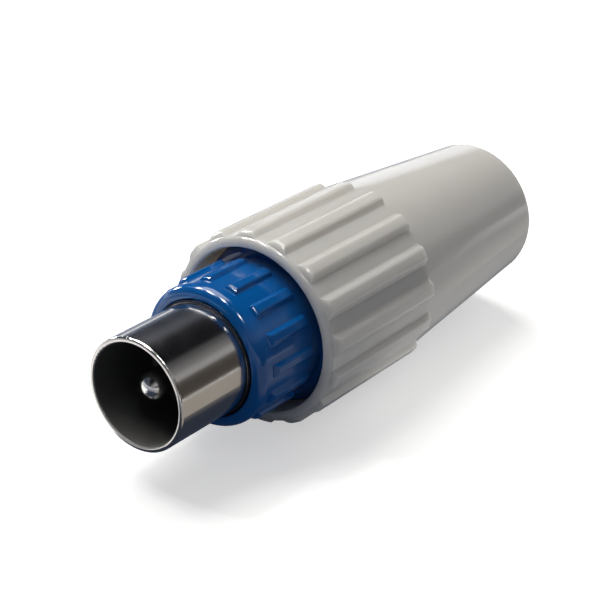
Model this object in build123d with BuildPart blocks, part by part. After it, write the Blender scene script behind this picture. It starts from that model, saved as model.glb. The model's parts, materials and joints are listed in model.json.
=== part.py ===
from build123d import *
import os
from math import cos, hypot, radians, sin

# A screw-on television aerial plug, male, without its cable. Its axis is Y and runs from the mating end
# to the cable end. The front rim of the outer contact lies at y 0. The plug lies on its side on two ribs
# of its shell, with Z up. Stations are distances along Y from the front rim. Sizes are in millimetres.

# Clearances
turned_fit = 0.05
sliding_fit = 0.08
cone_gap = 0.10
end_gap = 0.20
small_rounding = 0.12

# Outer contact, a plated tube with a rounded rim, a stop ridge inside, a thicker seat that the collar
# grips and a flange at its rear end
contact_radius = 4.75
contact_wall = 0.47
contact_length = 13.2
rim_rounding = 0.20
seat_height = 0.20
seat_lead = 0.06
seat_rounding = 0.05
contact_flange_height = 0.50
contact_flange_length = 1.0
ridge_height = 0.30
ridge_length = 0.50

# Insulator, the black disc that carries the pin inside the outer contact
insulator_depth = 7.4

# Centre pin, thicker in the insulator, with a boss at its rear that takes the cable's core
pin_radius = 1.20
pin_tip = 1.15
pin_nose_rounding = 1.15
pin_root_radius = 1.50
boss_radius = 2.10
boss_seat_depth = 2.2
boss_length = 9.5
core_hole_radius = 0.60
core_hole_depth = 6.0

# Grub screw that holds the cable's core in the boss
screw_radius = 1.00
screw_length = 2.3
screw_setback = 3.5
screw_slot_width = 0.32
screw_slot_depth = 0.55
screw_rounding = 0.15

# Braid sleeve, which joins the outer contact to the cable's braid
sleeve_bore = 3.20
sleeve_wall = 1.00
sleeve_front_flange = 1.0
sleeve_tube_length = 7.3
sleeve_rear_flange = 1.2
window_width = 2.8
window_length = 4.2
spigot_bore = 2.45
spigot_wall = 0.45
spigot_length = 4.8

# Blue collar, the plug's body
collar_front = 7.8
collar_wall = 0.75
collar_edge_rounding = 0.85
collar_rib_count = 15
collar_rib_phase = 17.65
collar_rib_height = 0.32
collar_rib_base = 1.10
collar_rib_crest = 0.70
collar_rib_nose = 0.55
collar_rib_start = 9.3
collar_rib_end = 14.0
collar_rib_rounding = 0.24
neck_length = 1.6
thread_wall = 1.45
thread_chamfer = 0.40
collet_engagement = 2.8

# Slotted collet, which the shell's cone closes on the cable
cable_radius = 3.40
collet_flange_length = 1.5
collet_flange_gap = 0.30
finger_length = 10.8
finger_count = 4
finger_slot_width = 0.90
finger_slot_start = 1.8
collet_rounding = 0.20

# White shell
mouth_gap = 0.10
thread_room = 0.45
shell_wall = 0.90
shell_length = 34.1
rim_outer_rounding = 0.60
rim_inner_rounding = 0.20
shell_rib_count = 16
shell_rib_phase = 11.25
shell_rib_height = 0.45
shell_rib_base = 1.75
shell_rib_crest = 1.05
shell_rib_nose = 0.68
shell_rib_set_back = 0.35
shell_rib_length = 13.9
shell_rib_rounding = 0.45
taper_start = 14.3
taper_blend = 40.0
cone_mouth_radius = 5.45
cone_length = 15.8
cable_hole_clearance = 0.25
rear_wall = 2.80
rear_rounding = 0.60
hole_rounding = 0.40

# How far a rib's foot reaches into the wall that carries it, and how far its root rounding does
rib_foot = 0.25
root_sink = 0.02

# Radii that follow, from the axis outwards
contact_bore = contact_radius - contact_wall
ridge_radius = contact_bore - ridge_height
seat_radius = contact_radius + seat_height
flange_radius = contact_radius + contact_flange_height
insulator_radius = contact_bore - turned_fit
sleeve_radius = sleeve_bore + sleeve_wall
spigot_radius = spigot_bore + spigot_wall
collar_bore = seat_radius + turned_fit
collar_counterbore = flange_radius + turned_fit
collar_radius = collar_counterbore + collar_wall
thread_radius = collar_counterbore + thread_wall
cable_hole = cable_radius + cable_hole_clearance
collet_bore = cable_hole - turned_fit
collet_nose_radius = collar_counterbore - sliding_fit
shell_bore = thread_radius + thread_room
collet_flange_radius = shell_bore - collet_flange_gap
shell_radius = shell_bore + shell_wall
shell_rear_radius = cable_hole + rear_wall

# Stations that follow, from the front rim backwards
seat_front = collar_front - seat_lead
contact_flange_front = contact_length - contact_flange_length
boss_front = contact_length - boss_seat_depth
boss_rear = boss_front + boss_length
screw_station = boss_rear - screw_setback
sleeve_tube_front = contact_length + sleeve_front_flange
sleeve_tube_rear = sleeve_tube_front + sleeve_tube_length
sleeve_rear = sleeve_tube_rear + sleeve_rear_flange
spigot_rear = sleeve_rear + spigot_length
neck_rear = collar_rib_end + neck_length
collar_rear = sleeve_rear + collet_engagement
collet_flange_front = collar_rear + end_gap
shoulder = collet_flange_front + collet_flange_length
finger_rear = shoulder + finger_length
shell_front = collar_rib_end + mouth_gap
shell_rear = shell_front + shell_length
shell_rib_front = shell_front + shell_rib_set_back
cone_rear = shoulder + cone_length
cone_slope = (cone_mouth_radius - cable_hole) / cone_length


def turned(*points):
    """Revolves a closed outline about the axis. Each point is radius, station and, if wanted, rounding."""
    with BuildSketch(Plane.XY) as outline:
        with BuildLine():
            Polyline(*[point[:2] for point in points], close=True)
        make_face()
        for radius, station, rounding in [point for point in points if len(point) == 3]:
            corner = outline.vertices().sort_by_distance((radius, station))[0]
            fillet(corner, radius=rounding)
    revolve(outline.sketch, axis=Axis.Y)


def across(station):
    """The plane square to the axis at a station, with its normal towards the cable."""
    return Plane(origin=(0, station, 0), x_dir=(1, 0, 0), z_dir=(0, 1, 0))


def ribbed_disc(radius, height, count, phase, base, crest, rounding):
    """A disc with flat topped ribs round it, rounded along their crests and roots."""
    top = radius + height
    valley = radius - root_sink
    foot = radius - rib_foot
    flare = (base - crest) / height
    valley_width = base + flare * root_sink
    foot_width = base + flare * rib_foot
    with BuildSketch(Plane.XY) as section:
        Circle(valley)
        with PolarLocations(0, count, start_angle=phase):
            Polygon(
                (foot, -foot_width / 2),
                (top, -crest / 2),
                (top, crest / 2),
                (foot, foot_width / 2),
                align=None,
            )
        corners = []
        for number in range(count):
            turn = radians(phase + number * 360 / count)
            for reach, width in ((top, crest), (valley, valley_width)):
                for side in (-width / 2, width / 2):
                    place = (
                        reach * cos(turn) - side * sin(turn),
                        reach * sin(turn) + side * cos(turn),
                    )
                    corners.append(section.vertices().sort_by_distance(place)[0])
        fillet(corners, radius=rounding)
    return section.sketch


def rib_envelope(radius, height, crest, front, rear, nose):
    """The ring that ribs are cut from, with their rounded noses at its front."""
    foot = radius - rib_foot
    outside = hypot(radius + height, crest / 2)
    turned((foot, front), (outside, front, nose), (outside, rear, small_rounding), (foot, rear))


os.makedirs("parts", exist_ok=True)

# Outer contact
with BuildPart() as outer_contact:
    turned(
        (contact_bore, 0, rim_rounding),
        (contact_radius, 0, rim_rounding),
        (contact_radius, seat_front),
        (seat_radius, seat_front, seat_rounding),
        (seat_radius, contact_flange_front),
        (flange_radius, contact_flange_front),
        (flange_radius, contact_length),
        (contact_bore, contact_length),
        (contact_bore, insulator_depth),
        (ridge_radius, insulator_depth),
        (ridge_radius, insulator_depth - ridge_length),
        (contact_bore, insulator_depth - ridge_length - ridge_height),
    )
outer_contact.part.label = "outer_contact"
export_step(outer_contact.part, "parts/outer_contact.step")

# Insulator, seated against the ridge in front and held by the braid sleeve behind
with BuildPart() as pin_insulator:
    turned(
        (pin_root_radius + turned_fit, insulator_depth),
        (insulator_radius, insulator_depth, small_rounding),
        (insulator_radius, contact_length),
        (boss_radius + turned_fit, contact_length),
        (boss_radius + turned_fit, boss_front),
        (pin_root_radius + turned_fit, boss_front),
    )
pin_insulator.part.label = "pin_insulator"
export_step(pin_insulator.part, "parts/pin_insulator.step")

# Centre pin, with the hole for the core and the hole for the grub screw across it
with BuildPart() as centre_pin:
    turned(
        (0, pin_tip),
        (pin_radius, pin_tip, pin_nose_rounding),
        (pin_radius, insulator_depth),
        (pin_root_radius, insulator_depth),
        (pin_root_radius, boss_front),
        (boss_radius, boss_front),
        (boss_radius, boss_rear, small_rounding),
        (0, boss_rear),
    )
    with BuildSketch(across(boss_rear)):
        Circle(core_hole_radius)
    extrude(amount=-core_hole_depth, mode=Mode.SUBTRACT)
    with BuildSketch(Plane.XY):
        with Locations((0, screw_station)):
            Circle(screw_radius + turned_fit)
    extrude(amount=boss_radius, mode=Mode.SUBTRACT)
centre_pin.part.label = "centre_pin"
export_step(centre_pin.part, "parts/centre_pin.step")

# Grub screw, standing on the core hole's edge with its slot upwards
screw_bottom = core_hole_radius + turned_fit
screw_top = screw_bottom + screw_length
with BuildPart() as core_screw:
    with BuildSketch(Plane.XY.offset(screw_bottom)):
        with Locations((0, screw_station)):
            Circle(screw_radius)
    extrude(amount=screw_length)
    fillet(core_screw.edges().filter_by(GeomType.CIRCLE), radius=screw_rounding)
    with BuildSketch(Plane.XY.offset(screw_top)):
        with Locations((0, screw_station)):
            Rectangle(3 * screw_radius, screw_slot_width)
    extrude(amount=-screw_slot_depth, mode=Mode.SUBTRACT)
core_screw.part.label = "core_screw"
export_step(core_screw.part, "parts/core_screw.step")

# Braid sleeve, with a window over the grub screw and a spigot that goes under the braid
with BuildPart() as braid_sleeve:
    turned(
        (sleeve_bore, contact_length),
        (flange_radius, contact_length),
        (flange_radius, sleeve_tube_front),
        (sleeve_radius, sleeve_tube_front),
        (sleeve_radius, sleeve_tube_rear),
        (flange_radius, sleeve_tube_rear),
        (flange_radius, sleeve_rear),
        (spigot_radius, sleeve_rear),
        (spigot_radius, spigot_rear, small_rounding),
        (spigot_bore, spigot_rear, small_rounding),
        (spigot_bore, sleeve_tube_rear),
        (sleeve_bore, sleeve_tube_rear),
    )
    with BuildSketch(Plane.XY):
        with Locations((0, screw_station)):
            Rectangle(window_width, window_length)
    extrude(amount=flange_radius, mode=Mode.SUBTRACT)
braid_sleeve.part.label = "braid_sleeve"
export_step(braid_sleeve.part, "parts/braid_sleeve.step")

# Ribs of the collar
with BuildPart() as collar_ribs:
    rib_envelope(
        collar_radius, collar_rib_height, collar_rib_crest, collar_rib_start, collar_rib_end, collar_rib_nose
    )
    with BuildSketch(across(collar_rib_start)):
        add(
            ribbed_disc(
                collar_radius,
                collar_rib_height,
                collar_rib_count,
                collar_rib_phase,
                collar_rib_base,
                collar_rib_crest,
                collar_rib_rounding,
            )
        )
    extrude(amount=collar_rib_end - collar_rib_start, mode=Mode.INTERSECT)

# Collar, with its grip ribs in front and the land of its screw thread behind
with BuildPart() as collar:
    turned(
        (collar_bore, collar_front, small_rounding),
        (collar_radius, collar_front, collar_edge_rounding),
        (collar_radius, neck_rear),
        (thread_radius - thread_chamfer, neck_rear),
        (thread_radius, neck_rear + thread_chamfer),
        (thread_radius, collar_rear - thread_chamfer),
        (thread_radius - thread_chamfer, collar_rear),
        (collar_counterbore, collar_rear, small_rounding),
        (collar_counterbore, contact_flange_front),
        (collar_bore, contact_flange_front),
    )
    add(collar_ribs.part)
collar.part.label = "collar"
export_step(collar.part, "parts/collar.step")

# Collet, its nose in the collar and its slotted fingers in the shell's cone
with BuildPart() as clamp_collet:
    turned(
        (collet_bore, sleeve_rear, small_rounding),
        (collet_nose_radius, sleeve_rear, collet_rounding),
        (collet_nose_radius, collet_flange_front),
        (collet_flange_radius, collet_flange_front, collet_rounding),
        (collet_flange_radius, shoulder, collet_rounding),
        (cone_mouth_radius - cone_gap, shoulder),
        (cone_mouth_radius - cone_gap - cone_slope * finger_length, finger_rear, collet_rounding),
        (collet_bore, finger_rear, small_rounding),
    )
    with BuildSketch(across(shoulder + finger_slot_start)):
        with PolarLocations(0, finger_count):
            Rectangle(cone_mouth_radius, finger_slot_width, align=(Align.MIN, Align.CENTER))
    extrude(amount=finger_length, mode=Mode.SUBTRACT)
clamp_collet.part.label = "clamp_collet"
export_step(clamp_collet.part, "parts/clamp_collet.step")

# Ribs of the shell
with BuildPart() as shell_ribs:
    rib_envelope(
        shell_radius,
        shell_rib_height,
        shell_rib_crest,
        shell_rib_front,
        shell_rib_front + shell_rib_length,
        shell_rib_nose,
    )
    with BuildSketch(across(shell_rib_front)):
        add(
            ribbed_disc(
                shell_radius,
                shell_rib_height,
                shell_rib_count,
                shell_rib_phase,
                shell_rib_base,
                shell_rib_crest,
                shell_rib_rounding,
            )
        )
    extrude(amount=shell_rib_length, mode=Mode.INTERSECT)

# Shell, with the bore for the screw thread, the cone that closes the collet and the hole for the cable
with BuildPart() as shell:
    turned(
        (shell_bore, shell_front, rim_inner_rounding),
        (shell_radius, shell_front, rim_outer_rounding),
        (shell_radius, shell_front + taper_start, taper_blend),
        (shell_rear_radius, shell_rear, rear_rounding),
        (cable_hole, shell_rear, hole_rounding),
        (cable_hole, cone_rear),
        (cone_mouth_radius, shoulder),
        (shell_bore, shoulder),
    )
    add(shell_ribs.part)
shell.part.label = "shell"
export_step(shell.part, "parts/shell.step")
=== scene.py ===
import json
import math

import bmesh
import bpy
from mathutils import Matrix, Vector


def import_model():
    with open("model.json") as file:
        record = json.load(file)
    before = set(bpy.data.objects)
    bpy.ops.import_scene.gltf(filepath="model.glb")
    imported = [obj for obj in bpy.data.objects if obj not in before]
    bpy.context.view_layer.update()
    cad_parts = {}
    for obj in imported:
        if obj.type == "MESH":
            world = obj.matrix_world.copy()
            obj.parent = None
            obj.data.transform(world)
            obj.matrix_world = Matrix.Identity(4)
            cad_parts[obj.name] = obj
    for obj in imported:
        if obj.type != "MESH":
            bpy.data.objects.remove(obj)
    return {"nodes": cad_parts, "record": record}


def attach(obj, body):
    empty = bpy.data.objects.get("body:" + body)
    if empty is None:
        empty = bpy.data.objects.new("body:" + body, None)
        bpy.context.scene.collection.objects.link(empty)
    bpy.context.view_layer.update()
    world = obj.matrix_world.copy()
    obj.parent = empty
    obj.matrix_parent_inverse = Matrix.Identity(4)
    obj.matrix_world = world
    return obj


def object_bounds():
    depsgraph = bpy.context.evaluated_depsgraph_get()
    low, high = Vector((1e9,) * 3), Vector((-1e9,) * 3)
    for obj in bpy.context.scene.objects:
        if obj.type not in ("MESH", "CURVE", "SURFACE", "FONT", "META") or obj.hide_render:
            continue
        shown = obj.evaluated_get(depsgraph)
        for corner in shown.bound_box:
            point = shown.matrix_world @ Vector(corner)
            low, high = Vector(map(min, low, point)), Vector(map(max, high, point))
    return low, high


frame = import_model()

# A screw-on television aerial plug. The solids give its shape. This file adds the screw thread, the finishes,
# a pale floor, studio light and the camera. Everything is in metres, in the solids' own frame.
MM = 0.001
WHITE = (1, 1, 1)
BLACK = (0, 0, 0)

# Screw thread between the collar's land and the shell's bore, right handed
THREAD_PITCH = 1.5 * MM
LAND_RADIUS = 6.75 * MM
BORE_RADIUS = 7.20 * MM
THREAD_RELIEF = 0.10 * MM
THREAD_ROOT_SINK = 0.05 * MM
ROOT_WIDTH = 0.80 * MM
CREST_WIDTH = 0.36 * MM
MALE_START = 16.2 * MM
MALE_END = 24.9 * MM
FEMALE_START = 17.2 * MM
FEMALE_END = 25.0 * MM
STEPS_PER_TURN = 96
RUN_OUT_TURNS = 0.25
LEAST_HEIGHT_SHARE = 0.02
LEAST_CREST_SHARE = 0.2
EDGE_ROUNDING = 0.06 * MM
EDGE_SEGMENTS = 2
EDGE_ANGLE = math.radians(30)

# Uneven gloss of handled plastic, below and above its mean roughness
GLOSSIER = 0.05
DULLER = 0.07
PLASTIC_IOR = 1.5

# Uneven gloss of wiped plating, as shares of its mean roughness
SHINIER_SHARE = 0.7
DULLER_SHARE = 1.35

# How far the shell's plastic lets light through, by colour
SHELL_TRANSLUCENCY = 0.85
SHELL_DEPTHS = (1.0, 0.94, 0.84)
SHELL_DEPTH = 2.2 * MM

# Radii between which the painted shade on the tube's inside, dark, dull and not metallic, turns into its
# bright rim, and the look of that painted shade
BORE_SHADE_FULL_AT = 4.30 * MM
BORE_SHADE_NONE_AT = 4.40 * MM
BORE_SHADE_COLOUR = (0.050, 0.050, 0.046, 1)
BORE_SHADE_ROUGHNESS = 0.55

# Radii between which its bright wall turns into the painted shade on its seat, where it enters the collar,
# and the look of that painted shade
SEAT_SHADE_NONE_AT = 4.756 * MM
SEAT_SHADE_FULL_AT = 4.766 * MM
SEAT_SHADE_COLOUR = (0.014, 0.020, 0.034, 1)
SEAT_SHADE_ROUGHNESS = 0.50

# Floor: its paint for cameras and gloss, the paint that lights the plug, and its glow near and far
FLOOR_SIZE = 3.0
FLOOR_GAP = 0.02 * MM
FLOOR_ROUGHNESS = 0.9
FLOOR_WHITE = (0.80, 0.80, 0.80)
FLOOR_BOUNCE = (0.31, 0.335, 0.39)
FLOOR_GLOW = 0.50
FLOOR_FAR_GLOW = 1.0
FLOOR_NEAR = 0.12
FLOOR_FAR = 0.60

# Glint lamps: their size, how wide they shine and the place on the plug's axis that they are aimed at
GLINT_SIZE = 0.035
GLINT_SPREAD = math.radians(10)
GLINT_AIM = (0, 0.008, 0)

# Cards, in millimetres. Most lie on the floor
CARD_LEVEL = -8.4
FLOOR_CARD_DARK_END = 10.0
FLOOR_CARD_PALE_START = 14.0
FLOOR_CARD_DARK = (0.035, 0.045, 0.070)
FLOOR_CARD_PALE = (0.46, 0.43, 0.39)

# What gloss sees of the room, by degrees round the plug's axis from +X through +Z
ROOM_STRIPS = (
    (-180, (0.300, 0.340, 0.420)),
    (-5, (0.085, 0.075, 0.065)),
    (14, (0.085, 0.075, 0.065)),
    (24, (0.120, 0.110, 0.105)),
    (29, (0.440, 0.440, 0.450)),
    (34, (0.440, 0.440, 0.450)),
    (47, (0.220, 0.220, 0.225)),
    (60, (0.110, 0.110, 0.120)),
    (70, (0.006, 0.006, 0.009)),
    (104, (0.005, 0.005, 0.009)),
    (127, (0.090, 0.100, 0.130)),
    (150, (0.050, 0.060, 0.080)),
    (162, (0.050, 0.060, 0.085)),
    (176, (0.200, 0.240, 0.340)),
)

# What lights the plug from the room: darkest against the lean and brightest along it
ROOM_LOW = (0.065, 0.080, 0.115)
ROOM_HIGH = (0.335, 0.33, 0.32)
ROOM_LEAN = (-0.20, 0.45, 0.87)
ROOM_LOW_AT = -0.5
ROOM_HIGH_AT = 0.9

# Camera, fitted to the round edges and outlines in the photograph
CAMERA_PLACE = Vector((0.07195, -0.08182, 0.06697))
CAMERA_AIM = Vector((-0.00244, 0.0241, -0.00185))
CAMERA_ROLL = math.radians(4.83)
CAMERA_LENS = 100.7
CAMERA_SENSOR = 36.0
CAMERA_NEAR = 0.005
CAMERA_FAR = 10.0

size_of_solids = [list(corner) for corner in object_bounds()]


def new_material(name):
    """A new material. Returns it, its node tree and its Principled shader."""
    material = bpy.data.materials.new(name)
    material.use_nodes = True
    shader = material.node_tree.nodes["Principled BSDF"]
    return material, material.node_tree, shader


def noise(tree, scale, detail=3.0, roughness=0.5, stretch=(1, 1, 1)):
    """A noise texture in the object's own metres, stretched along the axes given."""
    place = tree.nodes.new("ShaderNodeTexCoord")
    mapping = tree.nodes.new("ShaderNodeMapping")
    mapping.inputs["Scale"].default_value = stretch
    texture = tree.nodes.new("ShaderNodeTexNoise")
    texture.inputs["Scale"].default_value = scale
    texture.inputs["Detail"].default_value = detail
    texture.inputs["Roughness"].default_value = roughness
    tree.links.new(place.outputs["Object"], mapping.inputs["Vector"])
    tree.links.new(mapping.outputs["Vector"], texture.inputs["Vector"])
    return texture.outputs["Fac"]


def ramp(tree, value, start, end, low=0.0, high=1.0, interpolation="LINEAR"):
    """Goes from low to high while a value goes from start to end."""
    node = tree.nodes.new("ShaderNodeMapRange")
    node.interpolation_type = interpolation
    node.inputs["From Min"].default_value = start
    node.inputs["From Max"].default_value = end
    node.inputs["To Min"].default_value = low
    node.inputs["To Max"].default_value = high
    tree.links.new(value, node.inputs["Value"])
    return node.outputs["Result"]


def blend_colours(tree, factor, first, second):
    """A colour between two, each a fixed colour or another node's socket."""
    node = tree.nodes.new("ShaderNodeMix")
    node.data_type = "RGBA"
    tree.links.new(factor, node.inputs["Factor"])
    for colour, socket in ((first, node.inputs["A"]), (second, node.inputs["B"])):
        if isinstance(colour, bpy.types.NodeSocket):
            tree.links.new(colour, socket)
        else:
            socket.default_value = (*colour, 1.0)
    return node.outputs["Result"]


def calculate(tree, operation, first, second):
    """One sum on two sockets."""
    node = tree.nodes.new("ShaderNodeMath")
    node.operation = operation
    tree.links.new(first, node.inputs[0])
    tree.links.new(second, node.inputs[1])
    return node.outputs["Value"]


def length_of(tree, vector):
    """The length of a vector socket."""
    node = tree.nodes.new("ShaderNodeVectorMath")
    node.operation = "LENGTH"
    tree.links.new(vector, node.inputs[0])
    return node.outputs["Value"]


def object_place(tree):
    """The shaded point in the object's own metres."""
    return tree.nodes.new("ShaderNodeTexCoord").outputs["Object"]


def bump(tree, shader, height, strength, distance, under=None):
    """Adds a bump to the shader, over another one if given, and returns its normal."""
    node = tree.nodes.new("ShaderNodeBump")
    node.inputs["Strength"].default_value = strength
    node.inputs["Distance"].default_value = distance
    tree.links.new(height, node.inputs["Height"])
    if under is not None:
        tree.links.new(under, node.inputs["Normal"])
    tree.links.new(node.outputs["Normal"], shader.inputs["Normal"])
    return node.outputs["Normal"]


def moulded_plastic(name, dark, light, gloss):
    """Injection moulded plastic: slow colour drift, uneven gloss and the faint waves of a moulded skin."""
    material, tree, shader = new_material(name)
    drift = noise(tree, scale=90, detail=2)
    tree.links.new(blend_colours(tree, drift, dark, light), shader.inputs["Base Color"])
    handled = noise(tree, scale=420, detail=5, roughness=0.6)
    uneven = ramp(tree, handled, 0, 1, gloss - GLOSSIER, gloss + DULLER)
    tree.links.new(uneven, shader.inputs["Roughness"])
    waves = bump(tree, shader, noise(tree, scale=260, detail=2), strength=0.25, distance=0.05 * MM)
    bump(tree, shader, noise(tree, scale=4200, detail=3), strength=0.10, distance=0.004 * MM, under=waves)
    shader.inputs["IOR"].default_value = PLASTIC_IOR
    return material, shader


def plated_metal(name, dark, light, rough, turned=1.0):
    """Plated turned metal: fine rings left by turning, and slight clouding."""
    material, tree, shader = new_material(name)
    cloud = noise(tree, scale=240, detail=4, roughness=0.6)
    tree.links.new(blend_colours(tree, cloud, dark, light), shader.inputs["Base Color"])
    shader.inputs["Metallic"].default_value = 1.0
    wiped = noise(tree, scale=700, detail=4, roughness=0.65)
    uneven = ramp(tree, wiped, 0, 1, rough * SHINIER_SHARE, rough * DULLER_SHARE)
    tree.links.new(uneven, shader.inputs["Roughness"])
    rings = noise(tree, scale=1.0, detail=3, roughness=0.6, stretch=(60, 9000, 60))
    bump(tree, shader, rings, strength=0.10 * turned, distance=0.003 * MM)
    return material, tree, shader


def radius_mask(tree, none_at, all_at):
    """0 at one distance from the plug's axis and 1 at another."""
    flat = tree.nodes.new("ShaderNodeVectorMath")
    flat.operation = "MULTIPLY"
    flat.inputs[1].default_value = (1, 0, 1)
    tree.links.new(object_place(tree), flat.inputs[0])
    return ramp(tree, length_of(tree, flat.outputs["Vector"]), none_at, all_at)


def fade_in(tree, shader, socket, factor, start, kind="FLOAT"):
    """Blends what feeds a shader's socket in from a start value where the factor is 0."""
    fed = shader.inputs[socket].links[0].from_socket
    node = tree.nodes.new("ShaderNodeMix")
    node.data_type = kind
    node.inputs["A"].default_value = start
    tree.links.new(factor, node.inputs["Factor"])
    tree.links.new(fed, node.inputs["B"])
    tree.links.new(node.outputs["Result"], shader.inputs[socket])


def shell_white():
    """Glossy cream white of the shell, which lets a little light through."""
    material, shader = moulded_plastic(
        "shell_white", dark=(0.600, 0.583, 0.555), light=(0.650, 0.633, 0.602), gloss=0.13
    )
    shader.inputs["Subsurface Weight"].default_value = SHELL_TRANSLUCENCY
    shader.inputs["Subsurface Radius"].default_value = SHELL_DEPTHS
    shader.inputs["Subsurface Scale"].default_value = SHELL_DEPTH
    return material


def collar_blue():
    """Glossy blue of the collar."""
    material, _ = moulded_plastic(
        "collar_blue", dark=(0.000, 0.078, 0.290), light=(0.001, 0.100, 0.350), gloss=0.12
    )
    return material


def collet_white():
    """Satin off-white of the collet."""
    material, _ = moulded_plastic(
        "collet_white", dark=(0.54, 0.53, 0.49), light=(0.62, 0.61, 0.57), gloss=0.42
    )
    return material


def insulator_black():
    """Black moulded insulator."""
    material, _ = moulded_plastic(
        "insulator_black", dark=(0.010, 0.010, 0.011), light=(0.020, 0.020, 0.021), gloss=0.38
    )
    return material


def contact_plating():
    """Nickel plating of the outer contact, with painted shade on its inside, which is also dull and not
    metallic, and on its seat where it enters the collar.
    """
    material, tree, shader = plated_metal(
        "contact_plating", dark=(0.52, 0.50, 0.48), light=(0.62, 0.60, 0.57), rough=0.15
    )
    # painted shade: the tube's inside is dark, dull and not metallic, where it lies in shade
    outside = radius_mask(tree, BORE_SHADE_FULL_AT, BORE_SHADE_NONE_AT)
    fade_in(tree, shader, "Base Color", outside, BORE_SHADE_COLOUR, "RGBA")
    fade_in(tree, shader, "Roughness", outside, BORE_SHADE_ROUGHNESS)
    tree.links.new(outside, shader.inputs["Metallic"])
    # painted shade: a dark ring on the seat where the contact enters the collar
    off_seat_shade = radius_mask(tree, SEAT_SHADE_FULL_AT, SEAT_SHADE_NONE_AT)
    fade_in(tree, shader, "Base Color", off_seat_shade, SEAT_SHADE_COLOUR, "RGBA")
    fade_in(tree, shader, "Roughness", off_seat_shade, SEAT_SHADE_ROUGHNESS)
    return material


def pin_plating():
    """Nickel plating of the centre pin."""
    material, _, _ = plated_metal(
        "pin_plating", dark=(0.70, 0.69, 0.67), light=(0.80, 0.79, 0.77), rough=0.20
    )
    return material


def sleeve_plating():
    """Duller nickel plating of the braid sleeve."""
    material, _, _ = plated_metal(
        "sleeve_plating", dark=(0.50, 0.48, 0.43), light=(0.60, 0.58, 0.53), rough=0.28
    )
    return material


def screw_steel():
    """Zinc plated steel of the grub screw."""
    material, _, _ = plated_metal(
        "screw_steel", dark=(0.42, 0.42, 0.42), light=(0.52, 0.52, 0.53), rough=0.30, turned=0.5
    )
    return material


MAKERS = {
    "shell_white": shell_white,
    "collar_blue": collar_blue,
    "collet_white": collet_white,
    "insulator_black": insulator_black,
    "contact_plating": contact_plating,
    "pin_plating": pin_plating,
    "sleeve_plating": sleeve_plating,
    "screw_steel": screw_steel,
}


def finish_nodes():
    """Gives every solid the finish of its slot in the record. Returns the materials by slot."""
    finishes = {slot: make() for slot, make in MAKERS.items()}
    for part in frame["record"]["subparts"]:
        node = frame["nodes"][part["node"]]
        for place in node.material_slots:
            place.material = finishes[part["material_slot"]]
    return finishes


def thread_section(root, crest, share):
    """Corners of the thread's section, as radius and offset along the axis, at a share of its height."""
    top = root + (crest - root) * share
    half_root = ROOT_WIDTH / 2
    half_crest = (half_root + (CREST_WIDTH / 2 - half_root) * share) * max(share, LEAST_CREST_SHARE)
    return (
        (root, -half_root),
        (top, -half_crest),
        (top, half_crest),
        (root, half_root),
    )


def thread(name, root, crest, start, end, phase, body, material):
    """A right handed helical ridge from root to crest radius, which runs out at both ends."""
    turns = (end - start) / THREAD_PITCH
    steps = round(turns * STEPS_PER_TURN)
    mesh = bmesh.new()
    rings = []
    for step in range(steps + 1):
        turn = step / STEPS_PER_TURN
        share = min(1.0, turn / RUN_OUT_TURNS, (turns - turn) / RUN_OUT_TURNS)
        share = max(share, LEAST_HEIGHT_SHARE)
        angle = 2 * math.pi * turn + phase
        station = start + turn * THREAD_PITCH
        ring = [
            mesh.verts.new((radius * math.sin(angle), station + offset, radius * math.cos(angle)))
            for radius, offset in thread_section(root, crest, share)
        ]
        rings.append(ring)
    for before, after in zip(rings, rings[1:]):
        for corner in range(len(before)):
            following = (corner + 1) % len(before)
            mesh.faces.new((before[corner], before[following], after[following], after[corner]))
    mesh.faces.new(rings[0])
    mesh.faces.new(reversed(rings[-1]))
    bmesh.ops.recalc_face_normals(mesh, faces=mesh.faces)
    data = bpy.data.meshes.new(name)
    mesh.to_mesh(data)
    mesh.free()
    piece = bpy.data.objects.new(name, data)
    bpy.context.collection.objects.link(piece)
    data.materials.append(material)
    edge = piece.modifiers.new("rounded edges", "BEVEL")
    edge.width = EDGE_ROUNDING
    edge.segments = EDGE_SEGMENTS
    edge.limit_method = "ANGLE"
    edge.angle_limit = EDGE_ANGLE
    for face in data.polygons:
        face.use_smooth = True
    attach(piece, body)


def threads(finishes):
    """The collar's outside thread and the shell's inside one, in mesh at rest."""
    thread(
        "collar_thread",
        root=LAND_RADIUS - THREAD_ROOT_SINK,
        crest=BORE_RADIUS - THREAD_RELIEF,
        start=MALE_START,
        end=MALE_END,
        phase=0.0,
        body="plug_body",
        material=finishes["collar_blue"],
    )
    # the helix through both starts, turned half a pitch away
    lag = (FEMALE_START - MALE_START) / THREAD_PITCH
    thread(
        "shell_thread",
        root=BORE_RADIUS + THREAD_ROOT_SINK,
        crest=LAND_RADIUS + THREAD_RELIEF,
        start=FEMALE_START,
        end=FEMALE_END,
        phase=2 * math.pi * (lag + 0.5),
        body="shell",
        material=finishes["shell_white"],
    )


def sheet(name, corners):
    """A flat piece with four corners in metres."""
    data = bpy.data.meshes.new(name)
    data.from_pydata(corners, [], [(0, 1, 2, 3)])
    piece = bpy.data.objects.new(name, data)
    bpy.context.collection.objects.link(piece)
    return piece


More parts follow.
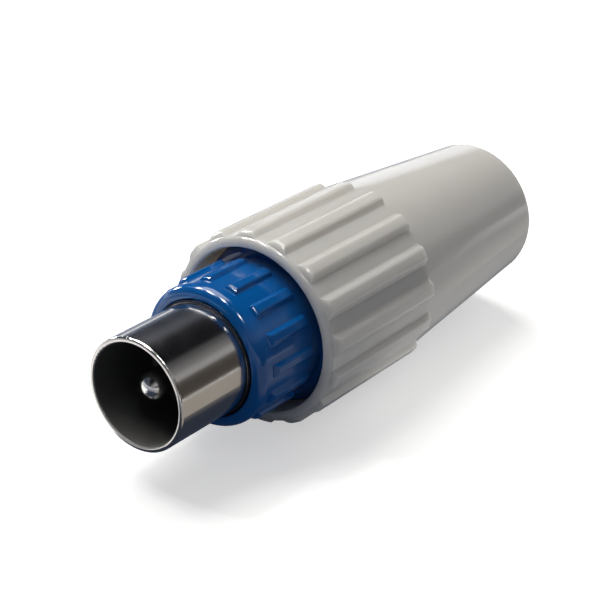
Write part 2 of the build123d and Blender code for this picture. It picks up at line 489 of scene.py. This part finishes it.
def floor(level):
    """A pale floor. Cameras and gloss see it white, and it throws little light up at the object."""
    half = FLOOR_SIZE / 2
    corners = ((-half, -half), (half, -half), (half, half), (-half, half))
    piece = sheet("floor", [(*corner, level) for corner in corners])
    material, tree, shader = new_material("floor_paint")
    shader.inputs["Roughness"].default_value = FLOOR_ROUGHNESS
    shader.inputs["Specular IOR Level"].default_value = 0.0
    path = tree.nodes.new("ShaderNodeLightPath")
    seen = calculate(tree, "MAXIMUM", path.outputs["Is Camera Ray"], path.outputs["Is Glossy Ray"])
    tree.links.new(blend_colours(tree, seen, FLOOR_BOUNCE, FLOOR_WHITE), shader.inputs["Base Color"])
    # the glow grows away from the plug, where the lamps fall off
    distance = length_of(tree, object_place(tree))
    glow = ramp(tree, distance, FLOOR_NEAR, FLOOR_FAR, FLOOR_GLOW, FLOOR_FAR_GLOW)
    shader.inputs["Emission Color"].default_value = (*WHITE, 1)
    tree.links.new(calculate(tree, "MULTIPLY", glow, seen), shader.inputs["Emission Strength"])
    piece.data.materials.append(material)


def aimed(place, target, roll=0.0):
    """The matrix of a lamp or camera at a place that looks at a target."""
    turn = (Vector(target) - Vector(place)).to_track_quat("-Z", "Y").to_matrix().to_4x4()
    return Matrix.Translation(place) @ turn @ Matrix.Rotation(roll, 4, "Z")


def lamp(name, place, size, power, colour=WHITE, target=(0, 0.02, 0)):
    """A rectangular softbox, which cameras don't see."""
    data = bpy.data.lights.new(name, "AREA")
    data.shape = "RECTANGLE"
    data.size, data.size_y = size
    data.energy = power
    data.color = colour
    piece = bpy.data.objects.new(name, data)
    bpy.context.collection.objects.link(piece)
    piece.matrix_world = aimed(place, target)
    piece.visible_camera = False
    return piece


def glint(name, place, power):
    """A small narrow lamp that only gloss sees. It puts glints on the rims and the ribs' noses."""
    piece = lamp(name, place, size=(GLINT_SIZE, GLINT_SIZE), power=power, target=GLINT_AIM)
    piece.data.spread = GLINT_SPREAD
    piece.visible_diffuse = False


def lamps():
    """The softboxes and the small glint lamps."""
    lamp("key", place=(-0.19, 0.07, 0.40), size=(0.33, 0.33), power=1.80, colour=(1.0, 0.985, 0.95))
    lamp("sparkle", place=(-0.13, -0.09, 0.26), size=(0.022, 0.022), power=0.12)
    glint("glint_left", place=(-0.156, -0.050, 0.248), power=0.0026)
    glint("glint_right", place=(-0.042, -0.084, 0.279), power=0.0026)
    glint("glint_front", place=(0.105, -0.105, 0.250), power=0.0012)
    glint("glint_back", place=(-0.222, -0.021, 0.198), power=0.0023)
    glint("glint_low", place=(-0.291, 0.055, 0.055), power=0.0017)
    lamp(
        "edge",
        place=(-0.058, 0.118, 0.020),
        size=(0.055, 0.024),
        power=0.0048,
        colour=(0.93, 0.96, 1.0),
        target=(0, 0.045, 0.002),
    )
    bounce = lamp(
        "bounce",
        place=(0.014, 0.046, -0.0083),
        size=(0.012, 0.05),
        power=0.0024,
        colour=(1.0, 0.97, 0.93),
        target=(0.014, 0.046, 1),
    )
    bounce.visible_glossy = False


def card(name, corners, colour):
    """A card beside the plug, which only gloss sees. Its corners are in millimetres."""
    piece = sheet(name, [tuple(value * MM for value in corner) for corner in corners])
    material, _, shader = new_material(name + "_paper")
    shader.inputs["Base Color"].default_value = (*BLACK, 1)
    shader.inputs["Specular IOR Level"].default_value = 0.0
    shader.inputs["Emission Color"].default_value = (*colour, 1)
    shader.inputs["Emission Strength"].default_value = 1.0
    piece.data.materials.append(material)
    piece.visible_camera = False
    piece.visible_diffuse = False
    piece.visible_transmission = False
    piece.visible_shadow = False
    return piece


def lying(left, right, front, back):
    """Corners of a card that lies on the floor."""
    corners = ((left, front), (right, front), (right, back), (left, back))
    return [(*corner, CARD_LEVEL) for corner in corners]


def floor_card():
    """A card under the plug, dark on the left and paler on the right."""
    piece = card("floor_card", lying(-6, 60, -20, 130), FLOOR_CARD_DARK)
    tree = piece.data.materials[0].node_tree
    split = tree.nodes.new("ShaderNodeSeparateXYZ")
    tree.links.new(object_place(tree), split.inputs["Vector"])
    start = FLOOR_CARD_DARK_END * MM
    end = FLOOR_CARD_PALE_START * MM
    paler = ramp(tree, split.outputs["X"], start, end, interpolation="SMOOTHSTEP")
    colour = blend_colours(tree, paler, FLOOR_CARD_DARK, FLOOR_CARD_PALE)
    tree.links.new(colour, tree.nodes["Principled BSDF"].inputs["Emission Color"])


def cards():
    """The glowing cards, seen only in reflection, that give the plating and the gloss their reflected streaks
    of light and dark.
    """
    floor_card()
    card("front_card", lying(-80, 80, -150, -20), (0.38, 0.40, 0.46))
    standing = [(75, -30, CARD_LEVEL), (75, 160, CARD_LEVEL), (75, 160, 12), (75, -30, 12)]
    card("brown_card", standing, (0.085, 0.075, 0.065))
    card("slate_card", lying(-130, -20, 0, 150), (0.30, 0.34, 0.44))


def room_strips(tree, direction):
    """The room's strips of light and dark, in the direction that gloss looks."""
    split = tree.nodes.new("ShaderNodeSeparateXYZ")
    tree.links.new(direction, split.inputs["Vector"])
    turn = calculate(tree, "ARCTAN2", split.outputs["Z"], split.outputs["X"])
    strips = tree.nodes.new("ShaderNodeValToRGB")
    strips.color_ramp.interpolation = "EASE"
    for number, (degrees, colour) in enumerate(ROOM_STRIPS):
        position = (degrees + 180) / 360
        stops = strips.color_ramp.elements
        stop = stops[0] if number == 0 else stops.new(position)
        stop.position = position
        stop.color = (*colour, 1)
    last = strips.color_ramp.elements[-1]
    last.color = (*ROOM_STRIPS[0][1], 1)
    tree.links.new(ramp(tree, turn, -math.pi, math.pi), strips.inputs["Fac"])
    return strips.outputs["Color"]


def world():
    """A dim room, darker below. Gloss sees its strips and dark walls, and cameras see it white."""
    room = bpy.data.worlds.new("room")
    bpy.context.scene.world = room
    room.use_nodes = True
    tree = room.node_tree
    path = tree.nodes.new("ShaderNodeLightPath")
    direction = tree.nodes.new("ShaderNodeTexCoord").outputs["Generated"]
    lean = tree.nodes.new("ShaderNodeVectorMath")
    lean.operation = "DOT_PRODUCT"
    lean.inputs[1].default_value = ROOM_LEAN
    tree.links.new(direction, lean.inputs[0])
    rise = ramp(tree, lean.outputs["Value"], ROOM_LOW_AT, ROOM_HIGH_AT, interpolation="SMOOTHSTEP")
    soft = blend_colours(tree, rise, ROOM_LOW, ROOM_HIGH)
    glossed = blend_colours(tree, path.outputs["Is Glossy Ray"], soft, room_strips(tree, direction))
    seen = blend_colours(tree, path.outputs["Is Camera Ray"], glossed, WHITE)
    tree.links.new(seen, tree.nodes["Background"].inputs["Color"])


def camera():
    """The camera at the photograph's viewing angle."""
    data = bpy.data.cameras.new("camera")
    data.lens = CAMERA_LENS
    data.sensor_width = CAMERA_SENSOR
    data.clip_start = CAMERA_NEAR
    data.clip_end = CAMERA_FAR
    piece = bpy.data.objects.new("camera", data)
    bpy.context.collection.objects.link(piece)
    piece.matrix_world = aimed(CAMERA_PLACE, CAMERA_AIM, CAMERA_ROLL)
    bpy.context.scene.camera = piece


threads(finish_nodes())
floor(size_of_solids[0][2] - FLOOR_GAP)
world()
lamps()
cards()
camera()
bpy.context.scene.view_settings.view_transform = "Standard"
